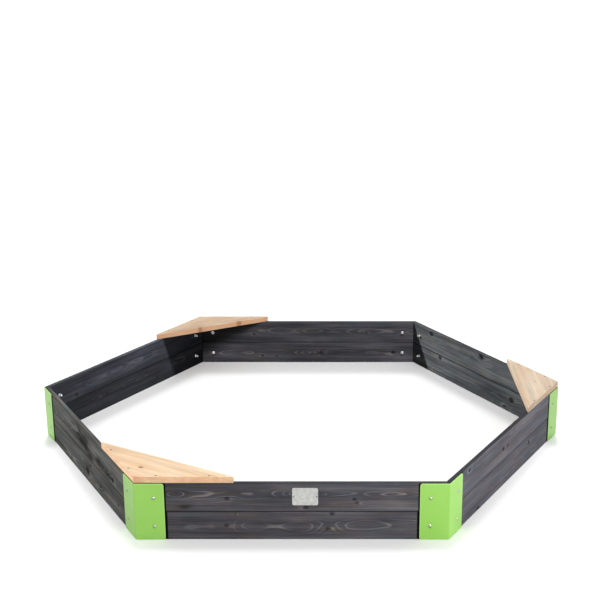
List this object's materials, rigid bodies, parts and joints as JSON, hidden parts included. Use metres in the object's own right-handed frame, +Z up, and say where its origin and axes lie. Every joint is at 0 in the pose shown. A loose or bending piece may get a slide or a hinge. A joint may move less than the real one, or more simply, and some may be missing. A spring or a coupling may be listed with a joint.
{
  "type": "hexagonal sandbox",
  "caption": "Open-bottomed hexagonal timber sandpit frame with bent steel corner plates and triangular corner seats.",
  "frame": {"origin": "middle of the hexagon on the ground", "axes": "+Z up; the front side, with the name plate, faces -Y and runs along X; +X points to the right-hand corner"},
  "size_m": [2.005, 1.744, 0.219],
  "materials": {
    "stained_pine": "dark grey stained planed pine, matt",
    "natural_pine": "bare planed pine, matt",
    "green_steel": "lime green powder coat, semi-gloss",
    "zinc": "bright zinc plated",
    "screw_steel": "dull passivated steel",
    "plate_metal": "satin rolled aluminium"
  },
  "bodies": {
    "root": {"front_lower_board": "stained_pine", "front_upper_board": "stained_pine", "right_front_lower_board": "stained_pine", "right_front_upper_board": "stained_pine", "right_back_lower_board": "stained_pine", "right_back_upper_board": "stained_pine", "back_lower_board": "stained_pine", "back_upper_board": "stained_pine", "left_back_lower_board": "stained_pine", "left_back_upper_board": "stained_pine", "left_front_lower_board": "stained_pine", "left_front_upper_board": "stained_pine", "front_left_corner_plate": "green_steel", "front_left_bolts": "zinc", "front_left_washers": "zinc", "front_left_cap_nuts": "zinc", "front_right_corner_plate": "green_steel", "front_right_bolts": "zinc", "front_right_washers": "zinc", "front_right_cap_nuts": "zinc", "right_corner_plate": "green_steel", "right_bolts": "zinc", "right_washers": "zinc", "right_cap_nuts": "zinc", "back_right_corner_plate": "green_steel", "back_right_bolts": "zinc", "back_right_washers": "zinc", "back_right_cap_nuts": "zinc", "back_left_corner_plate": "green_steel", "back_left_bolts": "zinc", "back_left_washers": "zinc", "back_left_cap_nuts": "zinc", "left_corner_plate": "green_steel", "left_bolts": "zinc", "left_washers": "zinc", "left_cap_nuts": "zinc", "front_left_seat": "natural_pine", "front_left_seat_screws": "screw_steel", "right_seat": "natural_pine", "right_seat_screws": "screw_steel", "back_left_seat": "natural_pine", "back_left_seat_screws": "screw_steel", "name_plate": "plate_metal", "name_plate_nails": "zinc"}
  },
  "joints": []
}
